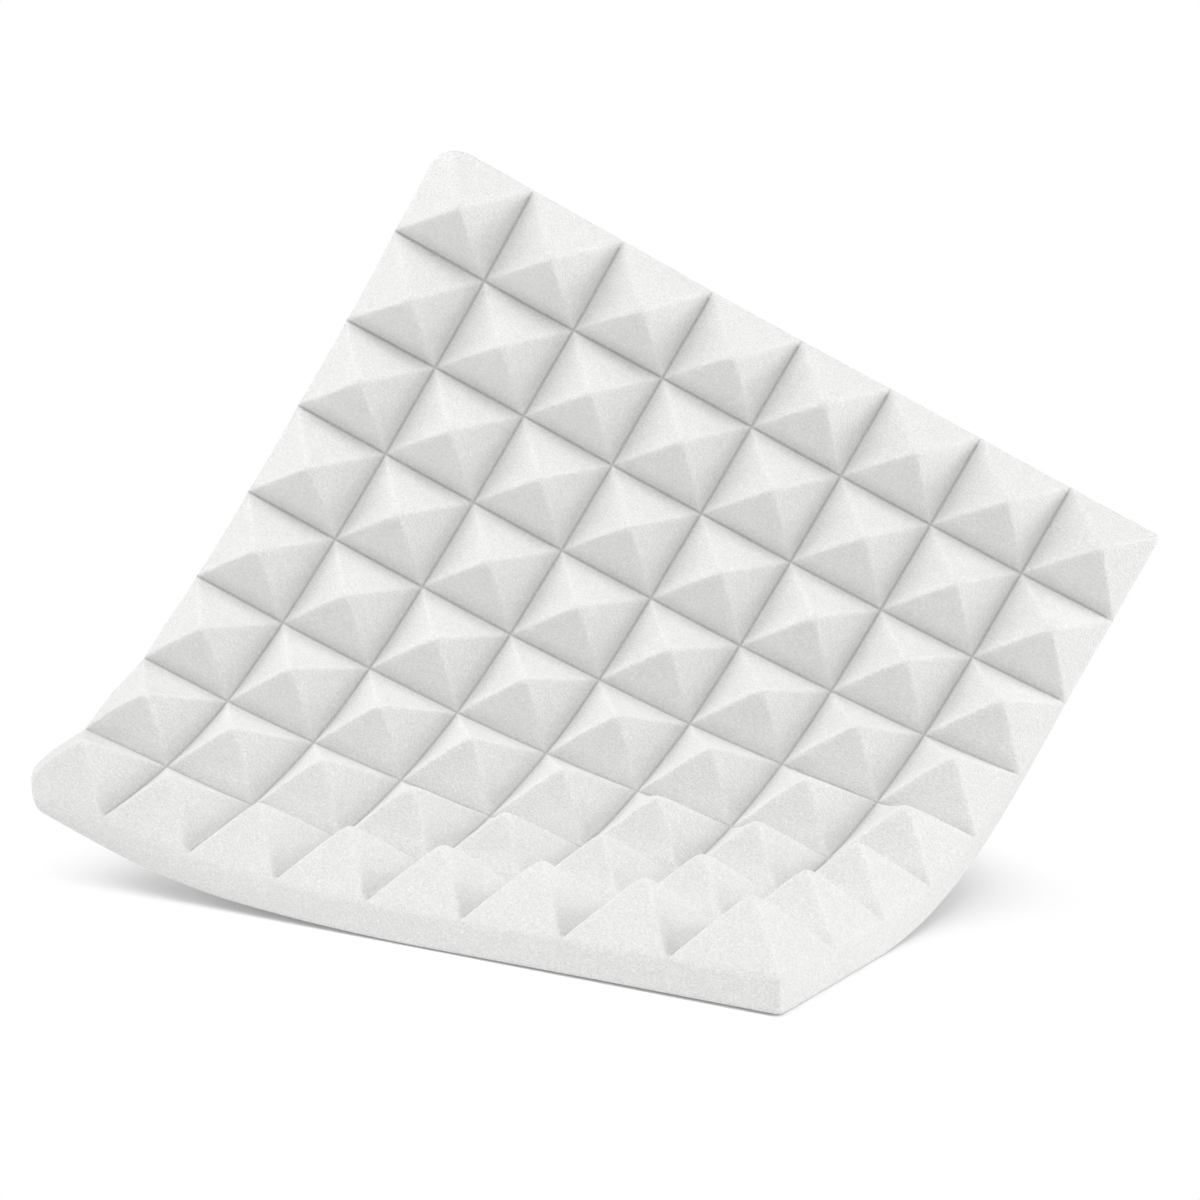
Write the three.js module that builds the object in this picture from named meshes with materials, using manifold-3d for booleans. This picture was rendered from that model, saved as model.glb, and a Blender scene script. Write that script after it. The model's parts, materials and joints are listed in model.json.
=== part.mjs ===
// Acoustic foam tile with rows of square pyramids, bent up from one corner that lies flat.
// The soft tile is divided into straight strips along its bend lines. Each strip turns
// about a line on the back face, so the tile flexes between this bend and lying flat.
// Millimetres, +Z up. X runs along the bend lines, and the lying corner points to -Y.
// The origin is the middle of the lying corner's back face, one of the faces that are
// glued to a wall when the tile is in use.

import * as THREE from 'three';
import { mergeVertices } from 'three/addons/utils/BufferGeometryUtils.js';
import Module from 'manifold-3d';

const wasm = await Module();
wasm.setup();

// Tile, as cut from flat foam
const TILE_SIDE = 500;
const BACKING_THICKNESS = 20;
const PYRAMID_HEIGHT = 30;
const PYRAMIDS_PER_SIDE = 8;
const TIP_WIDTH = 2;

// Bends, from the lying corner up to the standing one
const BEND_SPACING = 53;
const BEND_ANGLES_DEG = [10, 14, 15, 18, 12, 7, 5, 3, 6.5];
const BEND_LINE_ANGLE_DEG = 28.4;

// The tile's left corner curls forward a little, out of the bend
const CORNER_CURL = 16;
const CORNER_CURL_REACH = 160;

// Slit between neighbouring strips
const SLIT = 0.3;
// How far a cutting box reaches past the foam that it cuts
const CUT_OVERRUN = 10;

const FOAM = { color: 0xf1f0ec, roughness: 1, metalness: 0 };

const STRIP_NAMES = [
  'foam_corner_lying',
  ...BEND_ANGLES_DEG.slice(1).map((angle, index) => `foam_strip_${index + 2}`),
  'foam_corner_standing',
];

const toRadians = THREE.MathUtils.degToRad;
const lineAngle = toRadians(BEND_LINE_ANGLE_DEG);

// The tile's two edge directions, seen from above with the bend lines along X
const rowDirection = new THREE.Vector2(Math.cos(lineAngle), -Math.sin(lineAngle));
const columnDirection = new THREE.Vector2(-Math.sin(lineAngle), -Math.cos(lineAngle));

// Half the tile's width across the bend lines, corner to corner
const halfReach = (TILE_SIDE * (Math.cos(lineAngle) + Math.sin(lineAngle))) / 2;

/** Point of the flat tile, from its place along rows and columns and its height. */
function tilePoint(alongRow, alongColumn, height) {
  const place = rowDirection.clone().multiplyScalar(alongRow - TILE_SIDE / 2);
  place.addScaledVector(columnDirection, alongColumn - TILE_SIDE / 2);
  return [place.x, place.y, height];
}

/** Triangles of a four-sided face whose corners run anticlockwise from outside. */
function quad(a, b, c, d) {
  return [...a, ...b, ...c, ...a, ...c, ...d];
}

/** The flat tile: a plain back and a square pyramid with a blunt tip in each cell. */
function flatTileGeometry() {
  const cell = TILE_SIDE / PYRAMIDS_PER_SIDE;
  const tipInset = (cell - TIP_WIDTH) / 2;
  const valley = BACKING_THICKNESS;
  const tip = BACKING_THICKNESS + PYRAMID_HEIGHT;
  const triangles = [];

  for (let row = 0; row < PYRAMIDS_PER_SIDE; row += 1) {
    for (let column = 0; column < PYRAMIDS_PER_SIDE; column += 1) {
      const u = row * cell;
      const v = column * cell;
      const square = (inset, height) => [
        tilePoint(u + inset, v + inset, height),
        tilePoint(u + inset, v + cell - inset, height),
        tilePoint(u + cell - inset, v + cell - inset, height),
        tilePoint(u + cell - inset, v + inset, height),
      ];
      const foot = square(0, valley);
      const top = square(tipInset, tip);
      const back = square(0, 0);
      triangles.push(quad(...top));
      triangles.push(quad(...back.reverse()));
      for (let side = 0; side < foot.length; side += 1) {
        const next = (side + 1) % foot.length;
        triangles.push(quad(foot[side], foot[next], top[next], top[side]));
      }
    }
  }

  for (let step = 0; step < PYRAMIDS_PER_SIDE; step += 1) {
    const from = step * cell;
    const to = from + cell;
    const wall = (start, end) => {
      const low = (at) => tilePoint(...at, 0);
      const high = (at) => tilePoint(...at, valley);
      triangles.push(quad(low(start), low(end), high(end), high(start)));
    };
    wall([0, from], [0, to]);
    wall([from, TILE_SIDE], [to, TILE_SIDE]);
    wall([TILE_SIDE, to], [TILE_SIDE, from]);
    wall([to, 0], [from, 0]);
  }

  const geometry = new THREE.BufferGeometry();
  geometry.setAttribute('position', new THREE.Float32BufferAttribute(triangles.flat(), 3));
  return geometry;
}

/** Closed solid of a geometry, with only its places kept. */
function solidOf(geometry) {
  const bare = geometry.clone();
  bare.deleteAttribute('normal');
  bare.deleteAttribute('uv');
  const merged = mergeVertices(bare);
  const vertProperties = new Float32Array(merged.attributes.position.array);
  const triVerts = new Uint32Array(merged.index.array);
  return new wasm.Manifold(new wasm.Mesh({ numProp: 3, vertProperties, triVerts }));
}

/** Geometry of a solid. */
function geometryOf(solid) {
  const mesh = solid.getMesh();
  const geometry = new THREE.BufferGeometry();
  geometry.setAttribute('position', new THREE.BufferAttribute(new Float32Array(mesh.vertProperties), 3));
  geometry.setIndex(new THREE.BufferAttribute(new Uint32Array(mesh.triVerts), 1));
  return geometry;
}

/** Raise the foam about the left corner, most at the corner itself. */
function curlCorner(geometry) {
  const places = geometry.attributes.position;
  const [cornerX, cornerY] = tilePoint(0, TILE_SIDE, 0);
  for (let index = 0; index < places.count; index += 1) {
    const distance = Math.hypot(places.getX(index) - cornerX, places.getY(index) - cornerY);
    const nearness = Math.max(0, 1 - distance / CORNER_CURL_REACH);
    places.setZ(index, places.getZ(index) + CORNER_CURL * nearness ** 2);
  }
}

/** The part of the flat tile between two lines across it, less half a slit at each. */
function cutStrip(tile, from, to) {
  const thickness = BACKING_THICKNESS + PYRAMID_HEIGHT;
  const width = to - from - SLIT;
  const box = new THREE.BoxGeometry(
    2 * (halfReach + CUT_OVERRUN),
    width,
    thickness + 2 * CUT_OVERRUN,
  );
  box.translate(0, (from + to) / 2, thickness / 2);
  return geometryOf(tile.intersect(solidOf(box)));
}

/**
 * Squeeze a strip's pyramid side between two lines, as a bend squeezes foam on its
 * inside. The faces at the lines lean in by half of the bend there, and what lies
 * between them follows. Foam outside the lines stays as it was cut.
 */
function squeezeStrip(geometry, from, to, bendBefore, bendAfter) {
  const places = geometry.attributes.position;
  for (let index = 0; index < places.count; index += 1) {
    const height = places.getZ(index);
    const start = from + height * Math.tan(bendBefore / 2);
    const end = to - height * Math.tan(bendAfter / 2);
    const share = (places.getY(index) - from) / (to - from);
    if (share >= 0 && share <= 1) {
      places.setY(index, THREE.MathUtils.lerp(start, end, share));
    }
  }
}

/** Middle of the lying corner's triangle, whose inner side is the first bend line. */
function lyingCornerMiddle(firstBendLine) {
  const reach = firstBendLine + halfReach;
  const [x, y] = tilePoint(TILE_SIDE, TILE_SIDE, 0);
  const corner = new THREE.Vector2(x, y);
  const alongRow = corner.clone().addScaledVector(rowDirection, -reach / Math.sin(lineAngle));
  const alongColumn = corner.clone().addScaledVector(columnDirection, -reach / Math.cos(lineAngle));
  return corner.add(alongRow).add(alongColumn).divideScalar(3);
}

const bends = BEND_ANGLES_DEG.map(toRadians);
const bendLines = bends.map((bend, index) => (index - (bends.length - 1) / 2) * BEND_SPACING);
const stripEdges = [-halfReach, ...bendLines, halfReach];

const tile = solidOf(flatTileGeometry());
const panel = new THREE.Group();
let carrier = panel;

STRIP_NAMES.forEach((name, index) => {
  const from = stripEdges[index];
  const to = stripEdges[index + 1];
  const isFirst = index === 0;
  const isLast = index === bends.length;
  const bendBefore = isFirst ? 0 : bends[index - 1];
  const bendAfter = isLast ? 0 : bends[index];

  // Each strip hangs on the one before it, at the bend line between them
  const hinge = new THREE.Group();
  const previousLine = index > 1 ? stripEdges[index - 1] : 0;
  hinge.position.y = isFirst ? 0 : from - previousLine;
  hinge.rotation.x = bendBefore;
  carrier.add(hinge);
  carrier = hinge;

  const geometry = cutStrip(tile, from, to);
  curlCorner(geometry);
  const squeezeFrom = isFirst ? to - BEND_SPACING / 2 : from;
  const squeezeTo = isLast ? from + BEND_SPACING / 2 : to;
  squeezeStrip(geometry, squeezeFrom, squeezeTo, bendBefore, bendAfter);
  geometry.translate(0, isFirst ? 0 : -from, 0);
  const facets = geometry.toNonIndexed();
  facets.computeVertexNormals();

  const strip = new THREE.Mesh(facets, new THREE.MeshStandardMaterial(FOAM));
  strip.name = name;
  hinge.add(strip);
});

// The lying corner's back face is the floor, and its middle the origin
const origin = lyingCornerMiddle(bendLines[0]);
panel.position.set(-origin.x, -origin.y, 0);

export default panel;
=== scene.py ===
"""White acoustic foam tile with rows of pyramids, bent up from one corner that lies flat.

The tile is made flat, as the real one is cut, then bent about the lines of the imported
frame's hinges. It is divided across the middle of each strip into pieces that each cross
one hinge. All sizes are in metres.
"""

from __future__ import annotations

import json
import logging
import math
from dataclasses import dataclass, field
from enum import Enum

import bmesh
import bpy
import numpy as np
from mathutils import Matrix, Vector

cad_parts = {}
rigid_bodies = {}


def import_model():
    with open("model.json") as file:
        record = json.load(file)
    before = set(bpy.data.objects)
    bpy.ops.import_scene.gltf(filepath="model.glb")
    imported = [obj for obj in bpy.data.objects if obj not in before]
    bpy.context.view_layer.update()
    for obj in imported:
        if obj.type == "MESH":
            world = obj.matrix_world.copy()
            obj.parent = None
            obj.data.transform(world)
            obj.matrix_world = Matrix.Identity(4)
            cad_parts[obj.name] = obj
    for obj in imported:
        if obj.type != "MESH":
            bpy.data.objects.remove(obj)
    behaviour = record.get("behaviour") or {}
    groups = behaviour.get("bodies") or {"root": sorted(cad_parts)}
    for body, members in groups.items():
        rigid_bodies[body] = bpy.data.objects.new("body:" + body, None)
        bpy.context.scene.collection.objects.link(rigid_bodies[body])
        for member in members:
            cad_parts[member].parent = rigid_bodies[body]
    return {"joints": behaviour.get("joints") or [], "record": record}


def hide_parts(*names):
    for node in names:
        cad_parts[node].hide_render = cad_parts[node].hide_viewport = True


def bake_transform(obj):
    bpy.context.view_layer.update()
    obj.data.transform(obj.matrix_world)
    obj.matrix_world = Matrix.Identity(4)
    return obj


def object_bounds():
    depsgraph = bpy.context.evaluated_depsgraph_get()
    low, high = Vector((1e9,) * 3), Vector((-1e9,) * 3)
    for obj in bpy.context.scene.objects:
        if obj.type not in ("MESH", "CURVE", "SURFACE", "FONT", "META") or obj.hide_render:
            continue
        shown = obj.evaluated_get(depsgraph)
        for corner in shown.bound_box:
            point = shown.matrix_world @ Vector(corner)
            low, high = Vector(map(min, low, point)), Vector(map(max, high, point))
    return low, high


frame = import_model()
CAD_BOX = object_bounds()
# A noise texture runs from 0 to 1, about this middle
NOISE_MIDDLE = 0.5
# How far a vertex may be from a line and still count as on it
LINE_TOLERANCE = 1e-6
CUT_TOLERANCE = 1e-7

LOG = logging.getLogger("foam_tile")


class TileCorner(Enum):
    """The tile's four corners, by their place along its two edge directions."""

    LEFT = (0, 0)
    LYING = (1, 0)
    RIGHT = (1, 1)
    STANDING = (0, 1)


class Mark(Enum):
    """Distances over the foam's surface, kept as attributes for its material's painted shade near
    the valleys and painted highlights along the ridges.
    """

    VALLEY = "valley_distance"
    RIDGE = "ridge_distance"


class NodeTree:
    """A node tree under construction, with short ways to add and join nodes."""

    def __init__(self, tree: bpy.types.NodeTree) -> None:
        """Start on a tree.

        Args:
            tree: The node tree that nodes are added to.
        """
        self.tree = tree

    def add(self, kind: str, **settings: object) -> bpy.types.Node:
        """Add a node.

        Args:
            kind: The node's type.
            **settings: Attributes of the node and their values.

        Returns:
            The new node.
        """
        node = self.tree.nodes.new(kind)
        for name, value in settings.items():
            setattr(node, name, value)
        return node

    def put(self, node: bpy.types.Node, key: int | str, source: object) -> None:
        """Feed a node's input from another node's output, or with a value.

        Args:
            node: The node that is fed.
            key: Name or number of its input.
            source: An output socket, or a plain value.
        """
        if isinstance(source, bpy.types.NodeSocket):
            self.tree.links.new(source, node.inputs[key])
        else:
            node.inputs[key].default_value = source

    def math(self, operation: str, *values: object) -> bpy.types.NodeSocket:
        """Add a Math node.

        Args:
            operation: What it does.
            *values: Its inputs, as sockets or numbers.

        Returns:
            Its result.
        """
        node = self.add("ShaderNodeMath", operation=operation)
        for key, value in enumerate(values):
            self.put(node, key, value)
        return node.outputs[0]


@dataclass(frozen=True)
class FoamFinish:
    """Matt white open-cell foam: fine pores, a faint mottle, painted shade in the creases and
    towards the valleys, and painted highlights along the ridges.
    """

    name: str = "open_cell_foam"
    colour: tuple[float, float, float] = (0.88, 0.878, 0.872)
    # Painted shade in the valleys' creases and towards the valleys
    crease_shade: float = 0.24
    crease_reach: float = 0.0016
    hollow_shade: float = 0.09
    hollow_reach: float = 0.009
    # Painted highlights along the ridges, a thin line and a wider band
    ridge_light: float = 0.012
    ridge_reach: float = 0.0018
    broad_ridge_light: float = 0.02
    broad_ridge_reach: float = 0.006
    roughness: float = 1.0
    specular: float = 0.12
    pore_scale: float = 1200.0
    pore_weight: float = 0.8
    pore_depth: float = 0.00045
    pore_shade: float = 0.48
    pore_middle: float = 0.43
    grain_scale: float = 620.0
    grain_detail: float = 3.0
    mottle_scale: float = 70.0
    mottle_detail: float = 4.0
    mottle_shade: float = 0.03

    def material(self) -> bpy.types.Material:
        """Build the foam's material.

        Returns:
            The material.
        """
        material = bpy.data.materials.new(self.name)
        material.use_nodes = True
        material.node_tree.nodes.clear()
        tree = NodeTree(material.node_tree)
        place = tree.add("ShaderNodeTexCoord").outputs["Object"]

        pores = tree.add("ShaderNodeTexVoronoi", feature="F1")
        tree.put(pores, "Vector", place)
        tree.put(pores, "Scale", self.pore_scale)
        grain = tree.add("ShaderNodeTexNoise")
        tree.put(grain, "Vector", place)
        tree.put(grain, "Scale", self.grain_scale)
        tree.put(grain, "Detail", self.grain_detail)
        mottle = tree.add("ShaderNodeTexNoise")
        tree.put(mottle, "Vector", place)
        tree.put(mottle, "Scale", self.mottle_scale)
        tree.put(mottle, "Detail", self.mottle_detail)

        # Pores and mottle lighten as much as they darken, so that the colour stays
        wall = tree.math("MULTIPLY", pores.outputs["Distance"], self.pore_weight)
        level = tree.math("ADD", wall, grain.outputs["Fac"])
        pore = tree.math("SUBTRACT", tree.math("MULTIPLY", level, 0.5), self.pore_middle)
        shade = tree.math("MULTIPLY", pore, self.pore_shade)
        drift = tree.math("SUBTRACT", mottle.outputs["Fac"], NOISE_MIDDLE)
        drift = tree.math("MULTIPLY", drift, self.mottle_shade)
        tone = tree.math("ADD", 1.0, tree.math("ADD", shade, drift))

        # Painted shade, darker towards the valleys and in their creases, and painted highlights,
        # lighter along the thin ridges
        for mark, reach, factor in (
            (Mark.VALLEY, self.crease_reach, 1.0 - self.crease_shade),
            (Mark.VALLEY, self.hollow_reach, 1.0 - self.hollow_shade),
            (Mark.RIDGE, self.ridge_reach, 1.0 + self.ridge_light),
            (Mark.RIDGE, self.broad_ridge_reach, 1.0 + self.broad_ridge_light),
        ):
            distance = tree.add("ShaderNodeAttribute", attribute_name=mark.value)
            closing = tree.add("ShaderNodeMapRange", interpolation_type="SMOOTHSTEP")
            tree.put(closing, "Value", distance.outputs["Fac"])
            tree.put(closing, "From Min", 0.0)
            tree.put(closing, "From Max", reach)
            tree.put(closing, "To Min", factor)
            tree.put(closing, "To Max", 1.0)
            tone = tree.math("MULTIPLY", tone, closing.outputs["Result"])
        toned = tree.add("ShaderNodeVectorMath", operation="SCALE")
        tree.put(toned, 0, self.colour)
        tree.put(toned, "Scale", tone)

        bump = tree.add("ShaderNodeBump")
        tree.put(bump, "Strength", 1.0)
        tree.put(bump, "Distance", self.pore_depth)
        tree.put(bump, "Height", level)

        shader = tree.add("ShaderNodeBsdfPrincipled")
        tree.put(shader, "Base Color", toned.outputs[0])
        tree.put(shader, "Roughness", self.roughness)
        tree.put(shader, "Specular IOR Level", self.specular)
        tree.put(shader, "Normal", bump.outputs["Normal"])
        output = tree.add("ShaderNodeOutputMaterial")
        tree.put(output, "Surface", shader.outputs["BSDF"])
        return material


@dataclass
class PyramidFace:
    """The flat tile's upper face: one pyramid's cell, repeated in rows by Geometry Nodes."""

    pyramid_width: float = 0.0625
    pyramids_per_side: int = 8
    steps: int = 50
    backing: float = 0.020
    height: float = 0.030
    tip_roundness: float = 0.0028
    ridge_softness: float = 0.0028
    unevenness: float = 0.0006
    unevenness_scale: float = 28.0
    ripple: float = 0.0002
    ripple_scale: float = 150.0
    noise_detail: float = 2.0
    seed: int = 11
    merge_distance: float = 0.0001

    def side(self) -> float:
        """Give the tile's side."""
        return self.pyramid_width * self.pyramids_per_side

    def cells(self) -> int:
        """Give the number of mesh cells along the tile's side."""
        return self.steps * self.pyramids_per_side

    def _profile(self, tree: NodeTree, across: object, given: dict[str, object]) -> object:
        """Give the height of one cut through the foam, a ridge with a round top.

        Args:
            tree: The tree under construction.
            across: Distance from the middle of the pyramid.
            given: The group's inputs by name.

        Returns:
            The height above the valley.
        """
        half = tree.math("MULTIPLY", given["Pyramid Width"], 0.5)
        tip = given["Tip Roundness"]
        tip_squared = tree.math("MULTIPLY", tip, tip)

        def rounded(distance: object) -> object:
            """Give a distance from the middle, with its kink there rounded off."""
            squared = tree.math("MULTIPLY", distance, distance)
            root = tree.math("SQRT", tree.math("ADD", squared, tip_squared))
            return tree.math("SUBTRACT", root, tip)

        share = tree.math("DIVIDE", rounded(across), rounded(half))
        return tree.math("MULTIPLY", given["Height"], tree.math("SUBTRACT", 1.0, share))

    def _group(self) -> bpy.types.GeometryNodeTree:
        """Build the tree that makes the face.

        Returns:
            The node group.
        """
        group = bpy.data.node_groups.new("pyramid_face", "GeometryNodeTree")
        sockets = (
            ("Pyramid Width", "NodeSocketFloat"),
            ("Pyramids Per Side", "NodeSocketInt"),
            ("Steps", "NodeSocketInt"),
            ("Backing", "NodeSocketFloat"),
            ("Height", "NodeSocketFloat"),
            ("Tip Roundness", "NodeSocketFloat"),
            ("Ridge Softness", "NodeSocketFloat"),
            ("Unevenness", "NodeSocketFloat"),
            ("Ripple", "NodeSocketFloat"),
            ("Seed", "NodeSocketInt"),
            ("Foam", "NodeSocketMaterial"),
        )
        for name, kind in sockets:
            group.interface.new_socket(name, in_out="INPUT", socket_type=kind)
        group.interface.new_socket("Geometry", in_out="OUTPUT", socket_type="NodeSocketGeometry")
        tree = NodeTree(group)
        given = {s.name: s for s in tree.add("NodeGroupInput").outputs if s.name}

        # One cell of the face, with its pyramid
        cell = tree.add("GeometryNodeMeshGrid")
        vertices = tree.math("ADD", given["Steps"], 1)
        tree.put(cell, "Size X", given["Pyramid Width"])
        tree.put(cell, "Size Y", given["Pyramid Width"])
        tree.put(cell, "Vertices X", vertices)
        tree.put(cell, "Vertices Y", vertices)
        split = tree.add("ShaderNodeSeparateXYZ")
        tree.put(split, 0, tree.add("GeometryNodeInputPosition").outputs[0])
        rise = tree.math(
            "SMOOTH_MIN",
            self._profile(tree, split.outputs["X"], given),
            self._profile(tree, split.outputs["Y"], given),
            given["Ridge Softness"],
        )
        lift = tree.add("ShaderNodeCombineXYZ")
        tree.put(lift, "Z", tree.math("ADD", rise, given["Backing"]))
        pyramid = tree.add("GeometryNodeSetPosition")
        tree.put(pyramid, "Geometry", cell.outputs["Mesh"])
        tree.put(pyramid, "Offset", lift.outputs[0])

        # The rows of pyramids
        middles = tree.add("GeometryNodeMeshGrid")
        gaps = tree.math("SUBTRACT", given["Pyramids Per Side"], 1)
        spread = tree.math("MULTIPLY", gaps, given["Pyramid Width"])
        tree.put(middles, "Size X", spread)
        tree.put(middles, "Size Y", spread)
        tree.put(middles, "Vertices X", given["Pyramids Per Side"])
        tree.put(middles, "Vertices Y", given["Pyramids Per Side"])
        rows = tree.add("GeometryNodeInstanceOnPoints")
        tree.put(rows, "Points", middles.outputs["Mesh"])
        tree.put(rows, "Instance", pyramid.outputs["Geometry"])
        real = tree.add("GeometryNodeRealizeInstances")
        tree.put(real, 0, rows.outputs["Instances"])
        merged = tree.add("GeometryNodeMergeByDistance")
        tree.put(merged, "Geometry", real.outputs[0])
        tree.put(merged, "Distance", self.merge_distance)

        # Soft foam is never cut quite true
        waves = []
        for scale, amount in (
            (self.unevenness_scale, given["Unevenness"]),
            (self.ripple_scale, given["Ripple"]),
        ):
            noise = tree.add("ShaderNodeTexNoise", noise_dimensions="4D")
            tree.put(noise, "Vector", tree.add("GeometryNodeInputPosition").outputs[0])
            tree.put(noise, "W", given["Seed"])
            tree.put(noise, "Scale", scale)
            tree.put(noise, "Detail", self.noise_detail)
            centred = tree.math("SUBTRACT", noise.outputs["Fac"], NOISE_MIDDLE)
            waves.append(tree.math("MULTIPLY", centred, tree.math("MULTIPLY", amount, 2.0)))
        offset = tree.add("ShaderNodeCombineXYZ")
        tree.put(offset, "Z", tree.math("ADD", *waves))
        uneven = tree.add("GeometryNodeSetPosition")
        tree.put(uneven, "Geometry", merged.outputs[0])
        tree.put(uneven, "Offset", offset.outputs[0])

        foam = tree.add("GeometryNodeSetMaterial")
        tree.put(foam, "Geometry", uneven.outputs[0])
        tree.put(foam, "Material", given["Foam"])
        tree.put(tree.add("NodeGroupOutput"), "Geometry", foam.outputs[0])
        return group

    def heights(self, foam: bpy.types.Material) -> np.ndarray:
        """Run the tree and read the face's heights off its mesh.

        Args:
            foam: The foam's material.

        Returns:
            Heights above the back, by the place along both edge directions.
        """
        group = self._group()
        maker = bpy.data.objects.new("pyramid_face", bpy.data.meshes.new("pyramid_face"))
        bpy.context.scene.collection.objects.link(maker)
        modifier = maker.modifiers.new("pyramid_face", "NODES")
        modifier.node_group = group
        values = {
            "Pyramid Width": self.pyramid_width,
            "Pyramids Per Side": self.pyramids_per_side,
            "Steps": self.steps,
            "Backing": self.backing,
            "Height": self.height,
            "Tip Roundness": self.tip_roundness,
            "Ridge Softness": self.ridge_softness,
            "Unevenness": self.unevenness,
            "Ripple": self.ripple,
            "Seed": self.seed,
            "Foam": foam,
        }
        for item in group.interface.items_tree:
            if item.in_out == "INPUT":
                modifier[item.identifier] = values[item.name]
        graph = bpy.context.evaluated_depsgraph_get()
        mesh = bpy.data.meshes.new_from_object(maker.evaluated_get(graph))
        places = np.empty(len(mesh.vertices) * 3)
        mesh.vertices.foreach_get("co", places)
        places = places.reshape(-1, 3)
        bpy.data.objects.remove(maker)
        bpy.data.meshes.remove(mesh)

        count = self.cells() + 1
        step = self.pyramid_width / self.steps
        along = np.rint((places[:, 0] + self.side() / 2) / step).astype(int)
        across = np.rint((places[:, 1] + self.side() / 2) / step).astype(int)
        heights = np.full((count, count), np.nan)
        heights[along, across] = places[:, 2]
        if np.isnan(heights).any():
            raise ValueError("the pyramid face has holes")
        return heights


@dataclass
class FlatTile:
    """The tile as it is cut: the pyramid face, four side walls and a plain back, as one shell."""

    face: PyramidFace
    corner_rounding: dict[TileCorner, float] = field(
        default_factory=lambda: {
            TileCorner.LEFT: 0.020,
            TileCorner.LYING: 0.003,
            TileCorner.RIGHT: 0.003,
            TileCorner.STANDING: 0.018,
        }
    )
    wall_shares: tuple[float, ...] = (0.03, 0.08, 0.16, 0.3, 0.45, 0.6, 0.7, 0.78, 0.86, 0.93)
    back_roundness: float = 0.0022
    wall_reach: float = 0.025
    # The front wall leans back and swells towards the left corner
    front_lean: float = 0.0032
    front_lean_length: float = 0.260
    front_barrel: float = 0.0016
    front_flare: float = 0.0016
    # The back's edge below the front wall is lifted, but not near the left corner
    front_lift: float = 0.0012
    front_lift_depth: float = 0.018
    front_lift_start: float = 0.120
    front_lift_length: float = 0.280
    # At the left corner the back is drawn up and the rim down
    corner_thinning: float = 0.003
    thinning_length: float = 0.085
    rim_drop: float = 0.007
    rim_drop_length: float = 0.070
    # The left edge swells between the notches where its valleys end
    bulge: float = 0.0075
    notch_depth: float = 0.004
    bulge_depth: float = 0.030
    bulge_length: float = 0.190
    # The rim is rounded, and less so where a valley ends in it
    rim_softening: float = 0.006
    left_rim_softening: float = 0.002
    rim_passes: int = 8
    rim_step: float = 0.5
    notch_reach: float = 0.011
    # How far inside the edges the valleys' painted crease shade ends
    crease_end: float = 0.005

    def _round_corners(self, plan: np.ndarray) -> np.ndarray:
        """Draw the square's corners in to arcs.

        Args:
            plan: Places in the tile's plane, measured from its left corner.

        Returns:
            The places, with the corners rounded.
        """
        plan = plan.copy()
        side = self.face.side()
        for corner, radius in self.corner_rounding.items():
            at = np.array(corner.value) * side
            inward = 1 - 2 * np.array(corner.value)
            from_arc = (radius - (plan - at) * inward) / radius
            near = (from_arc > 0).all(axis=1)
            # A quarter of a square is mapped onto a quarter of a disc
            x, y = from_arc[near].T
            drawn = np.stack([x * np.sqrt(1 - y * y / 2), y * np.sqrt(1 - x * x / 2)], axis=1)
            plan[near] = at + (radius - drawn * radius) * inward
        return plan

    def _bulge_edge(self, plan: np.ndarray) -> np.ndarray:
        """Swell the left edge between its notches, most at the left corner.

        Args:
            plan: Places in the tile's plane, measured from its left corner.

        Returns:
            The places, with the edge swollen between its valleys.
        """
        plan = plan.copy()
        inward, along = plan.T
        wave = np.abs(np.sin(np.pi * along / self.face.pyramid_width))
        fade = np.clip(1 - along / self.bulge_length, 0, None)
        near = np.clip(1 - inward / self.bulge_depth, 0, None) ** 2
        plan[:, 0] -= (self.bulge * wave - self.notch_depth) * fade * near
        return plan

    def _shape_walls(self, places: np.ndarray) -> np.ndarray:
        """Round the walls' edge with the back, and lean and swell the front wall's left end.

        Args:
            places: Places in the tile's plane, and up.

        Returns:
            The places in the tile's plane, drawn in near the walls.
        """
        plan, height = places[:, :2], places[:, 2]
        below = np.clip(self.back_roundness - height, 0, None)
        inset = self.back_roundness - np.sqrt(self.back_roundness**2 - below**2)
        side = self.face.side()
        near = np.clip(1 - plan / self.wall_reach, 0, None) ** 2
        far = np.clip(1 - (side - plan) / self.wall_reach, 0, None) ** 2
        shaped = plan + inset[:, None] * (near - far)
        share = np.clip(height / self.face.backing, 0, 1)
        left = np.clip(1 - plan[:, 0] / self.front_lean_length, 0, None)
        inward = self.front_lean * share**2 - self.front_flare * (1 - share)
        inward -= self.front_barrel * np.sin(np.pi * share)
        shaped[:, 1] += inward * left * near[:, 1]
        return shaped

    def _shape_heights(self, places: np.ndarray) -> np.ndarray:
        """Thin the foam at the left corner, and lift the back a little along the front edge.

        Args:
            places: Places in the tile's plane, and up.

        Returns:
            The heights, with the back and the rim drawn up and down.
        """
        distance = np.hypot(*places[:, :2].T)
        share = np.clip(places[:, 2] / self.face.backing, 0, 1)
        rise = self.corner_thinning * np.clip(1 - distance / self.thinning_length, 0, None)
        drop = self.rim_drop * np.clip(1 - distance / self.rim_drop_length, 0, None) ** 2
        right = (places[:, 0] - self.front_lift_start) / self.front_lift_length
        front = np.clip(1 - places[:, 1] / self.front_lift_depth, 0, None) ** 2
        rise += self.front_lift * np.clip(right, 0, 1) * front
        return places[:, 2] + rise * (1 - share) - drop * share

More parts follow.
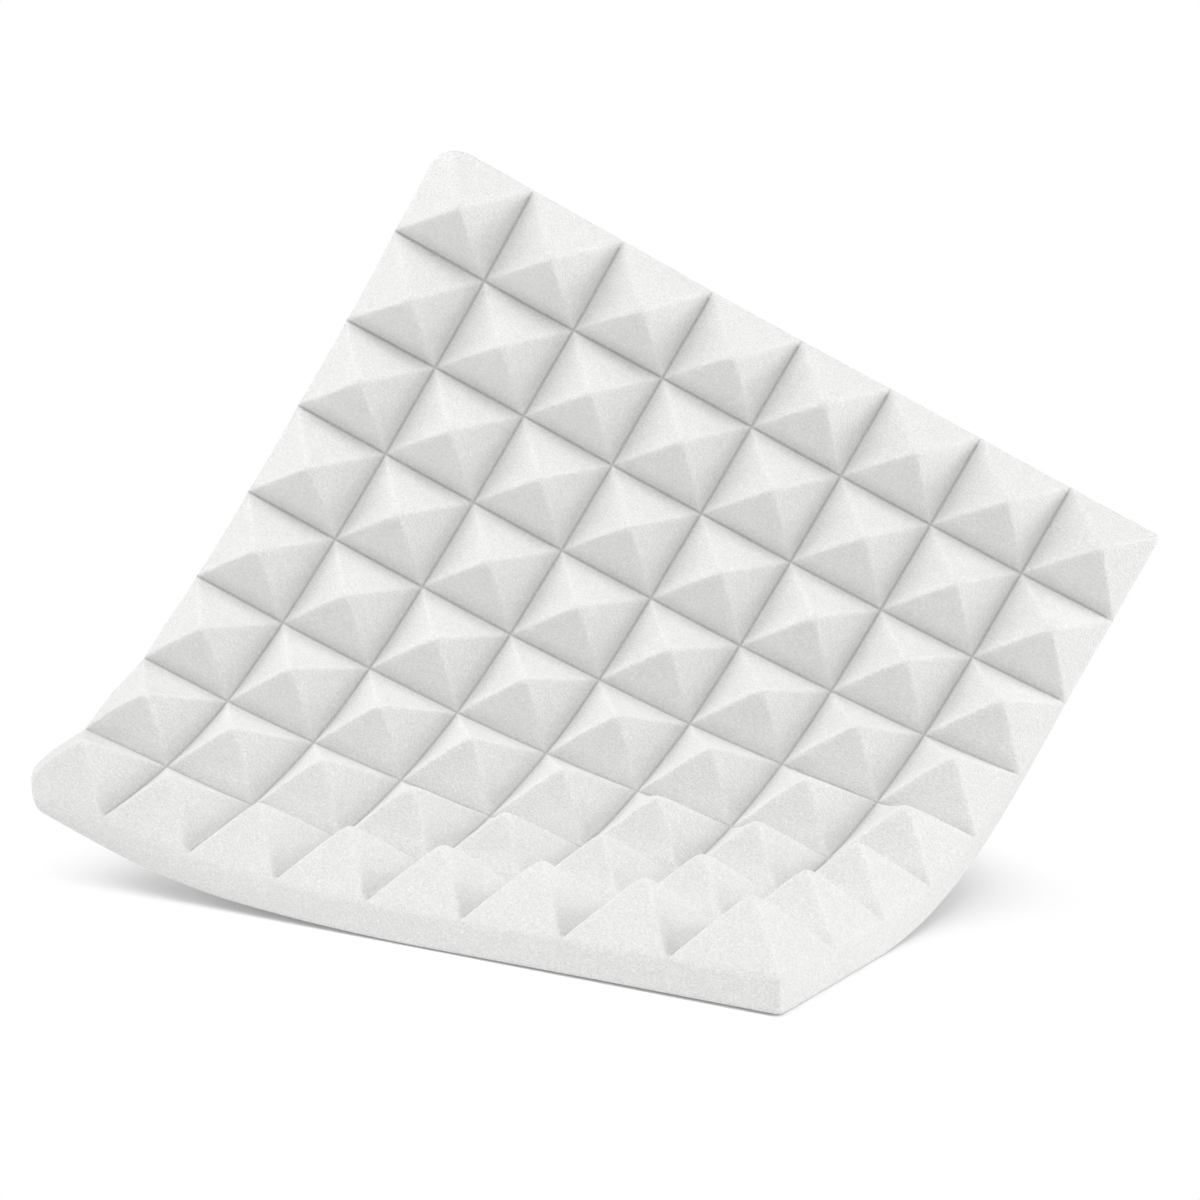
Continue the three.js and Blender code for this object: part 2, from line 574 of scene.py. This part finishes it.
    def _soften_rim(self, places: np.ndarray, triangles: np.ndarray) -> np.ndarray:
        """Round the rim between the pyramid face and the walls, except at the valleys' ends.

        Args:
            places: Vertex places.
            triangles: Triangles of the closed shell.

        Returns:
            The places, with the rim softened.
        """
        side = self.face.side()
        valleys = self.face.pyramid_width * np.arange(1, self.face.pyramids_per_side)
        from_notch = np.abs(places[:, :2, None] - valleys).min(axis=(1, 2))
        softness = np.clip(from_notch / self.notch_reach, 0, 1) * self.rim_step
        left, front = places[:, 0], places[:, 1]
        inside = np.minimum(np.minimum(front, side - front), side - left)
        near = (inside < self.rim_softening) | (left < self.left_rim_softening)
        near &= places[:, 2] > self.face.backing / 2
        ends = triangles[near[triangles].any(axis=1)]
        one = np.concatenate([ends[:, 0], ends[:, 1], ends[:, 2]])
        other = np.concatenate([ends[:, 1], ends[:, 2], ends[:, 0]])
        count = np.maximum(np.bincount(one, minlength=len(places)), 1)
        for _ in range(self.rim_passes):
            means = [
                np.bincount(one, places[other, axis], minlength=len(places)) / count
                for axis in range(3)
            ]
            mean = np.stack(means, axis=1)
            places[near] += (mean[near] - places[near]) * softness[near, None]
        return places

    def _marks(self, steps: np.ndarray, total: int) -> dict[Mark, np.ndarray]:
        """Measure how far the surface is from valleys and ridges.

        Args:
            steps: Places of the pyramid face's vertices along one edge.
            total: Number of vertices, of which the first are those of the pyramid face.

        Returns:
            Each mark's distances. What isn't near one has a large distance.
        """
        width = self.face.pyramid_width
        valleys = width * np.arange(1, self.face.pyramids_per_side)
        apart = np.abs(steps[:, None] - valleys).min(axis=1)
        from_middle = np.abs(steps % width - width / 2)
        # The painted crease shade fades out at the front, back and right edges
        from_right = steps[::-1]
        inside = np.minimum(from_right[:, None], np.minimum(steps, from_right)[None, :])
        fade = np.clip(1 - inside / self.crease_end, 0, None)
        distances = {
            Mark.VALLEY: np.minimum(apart[:, None], apart[None, :]) + fade * self.crease_end,
            Mark.RIDGE: np.abs(from_middle[:, None] - from_middle[None, :]) / math.sqrt(2),
        }
        marks = {}
        for mark, distance in distances.items():
            marks[mark] = np.full(total, width)
            marks[mark][: distance.size] = distance.ravel()
        return marks

    def shell(
        self, foam: bpy.types.Material
    ) -> tuple[np.ndarray, dict[Mark, np.ndarray], np.ndarray]:
        """Make the closed shell.

        Args:
            foam: The foam's material.

        Returns:
            Vertex places (along both edge directions and up), the marks on them, and
            triangles.
        """
        heights = self.face.heights(foam)
        count = len(heights)
        last = count - 1
        steps = np.linspace(0.0, self.face.side(), count)
        along, across = np.meshgrid(steps, steps, indexing="ij")
        plan = np.stack([along.ravel(), across.ravel()], axis=1)
        layer = count * count
        number = np.arange(layer).reshape(count, count)

        top = np.column_stack([plan, heights.ravel()])
        back = np.column_stack([plan, np.zeros(len(plan))])
        rim = np.concatenate(
            [number[:-1, 0], number[last, :-1], number[:0:-1, last], number[0, :0:-1]]
        )
        rows = [
            np.column_stack([plan[rim], heights.ravel()[rim] * share]) for share in self.wall_shares
        ]
        places = np.concatenate([top, back, *rows])
        shaped_heights = self._shape_heights(places)
        places[:, :2] = self._round_corners(places[:, :2])
        shaped_plan = self._bulge_edge(self._shape_walls(places))
        places = np.column_stack([shaped_plan, shaped_heights])

        # Each cell's diagonal follows the ridge of its pyramid
        cell = np.arange(last) % self.face.steps < self.face.steps / 2
        rising = cell[:, None] == cell[None, :]
        a, b = number[:-1, :-1], number[1:, :-1]
        c, d = number[1:, 1:], number[:-1, 1:]
        first = np.where(rising[..., None], np.stack([a, b, c], -1), np.stack([a, b, d], -1))
        second = np.where(rising[..., None], np.stack([a, c, d], -1), np.stack([b, c, d], -1))
        upper = np.concatenate([first.reshape(-1, 3), second.reshape(-1, 3)])
        lower = upper[:, ::-1] + layer

        # The walls run from the back's edge up through their own rows to the rim
        loops = [rim + layer]
        for row in range(len(rows)):
            loops.append(2 * layer + row * len(rim) + np.arange(len(rim)))
        loops.append(rim)
        walls = []
        for low, high in zip(loops[:-1], loops[1:]):
            low_next, high_next = np.roll(low, -1), np.roll(high, -1)
            walls.append(np.stack([low, low_next, high_next], axis=1))
            walls.append(np.stack([low, high_next, high], axis=1))
        triangles = np.concatenate([upper, lower, *walls])
        places = self._soften_rim(places, triangles)
        return places, self._marks(steps, len(places)), triangles


@dataclass
class BentTile:
    """The whole tile, bent about the frame's hinges and divided into one piece for each."""

    face: PyramidFace = field(default_factory=PyramidFace)
    finish: FoamFinish = field(default_factory=FoamFinish)
    bend_line_angle: float = math.radians(28.4)
    bend_spacing: float = 0.053
    corner_curl: float = 0.016
    corner_curl_reach: float = 0.160

    def __post_init__(self) -> None:
        """Read the bends and the hinge places from the frame."""
        joints = frame["joints"]
        self.bodies = [joints[0]["parent"], *(joint["child"] for joint in joints)]
        self.bends = [math.radians(joint["range_deg"][1]) for joint in joints]
        self.hinges = [np.array(joint["pos_m"][1:]) for joint in joints]
        count = len(joints)
        self.lines = [(index - (count - 1) / 2) * self.bend_spacing for index in range(count)]
        self.nodes = [frame["record"]["behaviour"]["bodies"][body][0] for body in self.bodies]

    def _half_reach(self) -> float:
        """Give half the tile's width across the bend lines, corner to corner."""
        angle = self.bend_line_angle
        return self.face.side() * (math.cos(angle) + math.sin(angle)) / 2

    def _lay_out(self, places: np.ndarray) -> np.ndarray:
        """Turn the flat tile so that its bend lines run along X, and curl its left corner.

        Args:
            places: Places along both edge directions and up.

        Returns:
            Flat places, with the tile's middle as the origin.
        """
        half = self.face.side() / 2
        sine, cosine = math.sin(self.bend_line_angle), math.cos(self.bend_line_angle)
        u, v = places[:, 0] - half, places[:, 1] - half
        distance = np.hypot(places[:, 0], places[:, 1])
        nearness = np.clip(1 - distance / self.corner_curl_reach, 0, None)
        lifted = places[:, 2] + self.corner_curl * nearness**2
        return np.column_stack([cosine * u + sine * v, -sine * u + cosine * v, lifted])

    def _bend(self, flat: np.ndarray) -> np.ndarray:
        """Bend flat places to the pose of the frame at rest.

        Args:
            flat: Flat places, with the bend lines along X.

        Returns:
            The places in the frame.
        """
        x, y, height = flat.T
        half = self.bend_spacing / 2
        out_y, out_z = y - self.lines[0] + self.hinges[0][0], height.copy()
        angle = 0.0
        for line, bend, (hinge_y, hinge_z) in zip(self.lines, self.bends, self.hinges):
            along = y - line
            radius = half / math.tan(bend / 2)
            turned = bend * np.clip((along + half) / self.bend_spacing, 0, 1)
            past = np.clip(along - half, 0, None)
            arc_y = -half + (radius - height) * np.sin(turned) + past * math.cos(bend)
            arc_z = radius - (radius - height) * np.cos(turned) + past * math.sin(bend)
            here = along >= -half
            sine, cosine = math.sin(angle), math.cos(angle)
            out_y[here] = (hinge_y + arc_y * cosine - arc_z * sine)[here]
            out_z[here] = (hinge_z + arc_y * sine + arc_z * cosine)[here]
            angle += bend
        shift = CAD_BOX[0].x + self._half_reach()
        return np.column_stack([x + shift, out_y, out_z])

    def _cut(
        self,
        flat: np.ndarray,
        marks: dict[Mark, np.ndarray],
        triangles: np.ndarray,
        low: float,
        high: float,
    ) -> bpy.types.Mesh:
        """Cut the part of the flat tile between two lines, with closed ends.

        Args:
            flat: Flat places.
            marks: The marks on each vertex.
            triangles: Triangles of the whole shell.
            low: Where the piece starts across the bend lines.
            high: Where it ends.

        Returns:
            The piece's mesh, still flat.
        """
        across = flat[:, 1][triangles]
        margin = 2 * self.face.pyramid_width / self.face.steps
        near = (across.max(axis=1) > low - margin) & (across.min(axis=1) < high + margin)
        used, numbers = np.unique(triangles[near], return_inverse=True)
        numbers = numbers.reshape(-1, 3)
        mesh = mesh_of("foam", flat[used], numbers)
        for mark, distance in marks.items():
            kept = mesh.attributes.new(mark.value, "FLOAT", "POINT")
            kept.data.foreach_set("value", distance[used].astype(np.float32))

        solid = bmesh.new()
        solid.from_mesh(mesh)
        for line, direction in ((low, -1.0), (high, 1.0)):
            if abs(line) >= self._half_reach():
                continue
            bmesh.ops.bisect_plane(
                solid,
                geom=[*solid.verts, *solid.edges, *solid.faces],
                dist=CUT_TOLERANCE,
                plane_co=(0.0, line, 0.0),
                plane_no=(0.0, direction, 0.0),
                clear_outer=True,
            )
            rim = [edge for edge in solid.edges if edge.is_boundary and on_line(edge, line)]
            made = bmesh.ops.triangle_fill(
                solid, edges=rim, use_beauty=False, normal=(0.0, direction, 0.0)
            )
            for item in made["geom"]:
                if isinstance(item, bmesh.types.BMFace) and item.normal.y * direction < 0:
                    item.normal_flip()
            for edge in rim:
                edge.smooth = False
        for item in solid.faces:
            item.smooth = True
        solid.to_mesh(mesh)
        solid.free()
        return mesh

    def build(self) -> list[bpy.types.Object]:
        """Build the pieces of the bent tile.

        Returns:
            The pieces, from the lying corner up.
        """
        foam = self.finish.material()
        places, marks, triangles = FlatTile(self.face).shell(foam)
        flat = self._lay_out(places)
        half = self.bend_spacing / 2
        pieces = []
        for index, line in enumerate(self.lines):
            low = -math.inf if index == 0 else line - half
            high = math.inf if index == len(self.lines) - 1 else line + half
            mesh = self._cut(flat, marks, triangles, low, high)
            cut = np.empty(len(mesh.vertices) * 3)
            mesh.vertices.foreach_get("co", cut)
            mesh.vertices.foreach_set("co", self._bend(cut.reshape(-1, 3)).ravel())
            mesh.materials.append(foam)
            mesh.update()
            mesh.name = f"foam_bend_{index + 1}"
            piece = bpy.data.objects.new(mesh.name, mesh)
            bpy.context.scene.collection.objects.link(piece)
            self._attach(piece, index)
            pieces.append(piece)
        return pieces

    def _attach(self, piece: bpy.types.Object, index: int) -> None:
        """Bake a piece's place into its mesh, and hide the frame's parts that it stands for.

        Args:
            piece: The piece.
            index: The number of its hinge, from the lying corner.
        """
        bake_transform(piece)
        nodes = [self.nodes[index]]
        if index == len(self.bends) - 1:
            nodes.append(self.nodes[-1])
        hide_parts(*nodes)


def on_line(edge: bmesh.types.BMEdge, line: float) -> bool:
    """Tell whether both ends of an edge lie on a line across the flat tile.

    Args:
        edge: The edge.
        line: Place of the line.

    Returns:
        True if they do.
    """
    return all(abs(vertex.co.y - line) < LINE_TOLERANCE for vertex in edge.verts)


def mesh_of(name: str, places: np.ndarray, triangles: np.ndarray) -> bpy.types.Mesh:
    """Make a mesh of triangles.

    Args:
        name: The mesh's name.
        places: Its vertices.
        triangles: Its triangles.

    Returns:
        The mesh.
    """
    mesh = bpy.data.meshes.new(name)
    mesh.vertices.add(len(places))
    mesh.vertices.foreach_set("co", places.astype(np.float32).ravel())
    mesh.loops.add(triangles.size)
    mesh.loops.foreach_set("vertex_index", triangles.astype(np.int32).ravel())
    mesh.polygons.add(len(triangles))
    mesh.polygons.foreach_set("loop_start", np.arange(0, triangles.size, 3, dtype=np.int32))
    mesh.update(calc_edges=True)
    return mesh


@dataclass(frozen=True)
class Lamp:
    """A square soft lamp, hung at an angle from the tile and pointed at it."""

    name: str
    azimuth: float
    elevation: float
    power: float
    size: float = 1.6
    distance: float = 2.4
    aim: tuple[float, float, float] = (-0.04, 0.1, 0.2)

    def hang(self) -> None:
        """Put the lamp in the scene."""
        azimuth, elevation = math.radians(self.azimuth), math.radians(self.elevation)
        away = Vector(
            (
                math.sin(azimuth) * math.cos(elevation),
                -math.cos(azimuth) * math.cos(elevation),
                math.sin(elevation),
            )
        )
        light = bpy.data.lights.new(self.name, "AREA")
        light.size = self.size
        light.energy = self.power
        lamp = bpy.data.objects.new(self.name, light)
        bpy.context.scene.collection.objects.link(lamp)
        lamp.location = Vector(self.aim) + away * self.distance
        lamp.rotation_mode = "QUATERNION"
        lamp.rotation_quaternion = (-away).to_track_quat("-Z", "Y")


@dataclass
class Studio:
    """A white floor, soft lamps and the camera of the photograph."""

    floor_size: float = 60.0
    floor_colour: tuple[float, float, float] = (0.98, 0.98, 0.98)
    floor_white: float = 1.7
    shadow_share: float = 0.90
    shadow_middle: tuple[float, float, float] = (-0.07, 0.12, 0.0)
    shadow_reach: tuple[float, float] = (0.225, 0.33)
    ambient: float = 0.305
    lamps: tuple[Lamp, ...] = (
        Lamp("front", azimuth=20, elevation=55, power=20.6),
        Lamp("front_left", azimuth=-60, elevation=55, power=12.2),
        Lamp("left", azimuth=-90, elevation=30, power=16.8),
        Lamp("low_right", azimuth=90, elevation=8, power=26.0),
        Lamp("top", azimuth=0, elevation=78, power=3.3),
    )
    camera_place: tuple[float, float, float] = (0.00871, -1.12579, 0.33777)
    camera_right: tuple[float, float, float] = (0.99896, 0.04322, 0.01427)
    camera_look: tuple[float, float, float] = (-0.04103, 0.99088, -0.12837)
    lens: float = 66.43
    sensor: float = 36.0
    camera_range: tuple[float, float] = (0.05, 50.0)

    def build(self) -> None:
        """Build the floor, the light and the camera."""
        self._floor()
        self._world()
        for lamp in self.lamps:
            lamp.hang()
        self._camera()
        bpy.context.scene.view_settings.view_transform = "Standard"

    def _seen(self, tree: NodeTree) -> bpy.types.NodeSocket:
        """Give 1 where a ray comes from the camera, straight or by a gloss, and else 0."""
        path = tree.add("ShaderNodeLightPath")
        sight = tree.math("MAXIMUM", path.outputs["Is Camera Ray"], path.outputs["Is Glossy Ray"])
        return tree.math("MAXIMUM", sight, path.outputs["Is Transmission Ray"])

    def _floor(self) -> None:
        """Lay a pale floor that looks white and keeps the tile's shadow."""
        half = self.floor_size / 2
        corners = [(-half, -half, 0), (half, -half, 0), (half, half, 0), (-half, half, 0)]
        mesh = bpy.data.meshes.new("floor")
        mesh.from_pydata(corners, [], [(0, 1, 2, 3)])
        floor = bpy.data.objects.new("floor", mesh)
        bpy.context.scene.collection.objects.link(floor)
        material = bpy.data.materials.new("white_floor")
        material.use_nodes = True
        material.node_tree.nodes.clear()
        tree = NodeTree(material.node_tree)
        paint = tree.add("ShaderNodeBsdfDiffuse")
        tree.put(paint, "Color", (*self.floor_colour, 1.0))
        seen = self._seen(tree)
        white = tree.add("ShaderNodeEmission")
        tree.put(white, "Strength", self.floor_white)
        apart = tree.add("ShaderNodeVectorMath", operation="DISTANCE")
        tree.put(apart, 0, tree.add("ShaderNodeTexCoord").outputs["Object"])
        tree.put(apart, 1, self.shadow_middle)
        fade = tree.add("ShaderNodeMapRange", interpolation_type="SMOOTHSTEP")
        tree.put(fade, "Value", apart.outputs["Value"])
        tree.put(fade, "From Min", self.shadow_reach[0])
        tree.put(fade, "From Max", self.shadow_reach[1])
        shaded = tree.add("ShaderNodeMixShader")
        tree.put(shaded, 0, tree.math("MULTIPLY", seen, 1.0 - self.shadow_share))
        tree.put(shaded, 1, paint.outputs[0])
        tree.put(shaded, 2, white.outputs[0])
        mix = tree.add("ShaderNodeMixShader")
        tree.put(mix, 0, tree.math("MULTIPLY", seen, fade.outputs["Result"]))
        tree.put(mix, 1, shaded.outputs[0])
        tree.put(mix, 2, tree.add("ShaderNodeEmission").outputs[0])
        tree.put(tree.add("ShaderNodeOutputMaterial"), "Surface", mix.outputs[0])
        mesh.materials.append(material)

    def _world(self) -> None:
        """Surround the tile with even light, and show white behind it."""
        world = bpy.data.worlds.new("studio")
        bpy.context.scene.world = world
        world.use_nodes = True
        world.node_tree.nodes.clear()
        tree = NodeTree(world.node_tree)
        around = tree.add("ShaderNodeBackground")
        tree.put(around, "Strength", self.ambient)
        behind = tree.add("ShaderNodeBackground")
        tree.put(behind, "Strength", 1.0)
        for shade in (around, behind):
            tree.put(shade, "Color", (1.0, 1.0, 1.0, 1.0))
        mix = tree.add("ShaderNodeMixShader")
        tree.put(mix, 0, self._seen(tree))
        tree.put(mix, 1, around.outputs[0])
        tree.put(mix, 2, behind.outputs[0])
        tree.put(tree.add("ShaderNodeOutputWorld"), "Surface", mix.outputs[0])

    def _camera(self) -> None:
        """Set the camera where the photograph was taken from."""
        data = bpy.data.cameras.new("camera")
        data.sensor_width = self.sensor
        data.lens = self.lens
        data.clip_start, data.clip_end = self.camera_range
        camera = bpy.data.objects.new("camera", data)
        bpy.context.scene.collection.objects.link(camera)
        look = Vector(self.camera_look).normalized()
        right = Vector(self.camera_right)
        right = (right - look * right.dot(look)).normalized()
        up = right.cross(look)
        turn = Matrix((right, up, -look)).transposed()
        camera.matrix_world = Matrix.Translation(self.camera_place) @ turn.to_4x4()
        bpy.context.scene.camera = camera


def main() -> None:
    """Build the tile and the studio, and report each piece."""
    logging.basicConfig(level=logging.INFO, format="%(message)s")
    Studio().build()
    for piece in BentTile().build():
        LOG.info("%s: %d triangles", piece.name, len(piece.data.polygons))


if __name__ == "__main__":
    main()
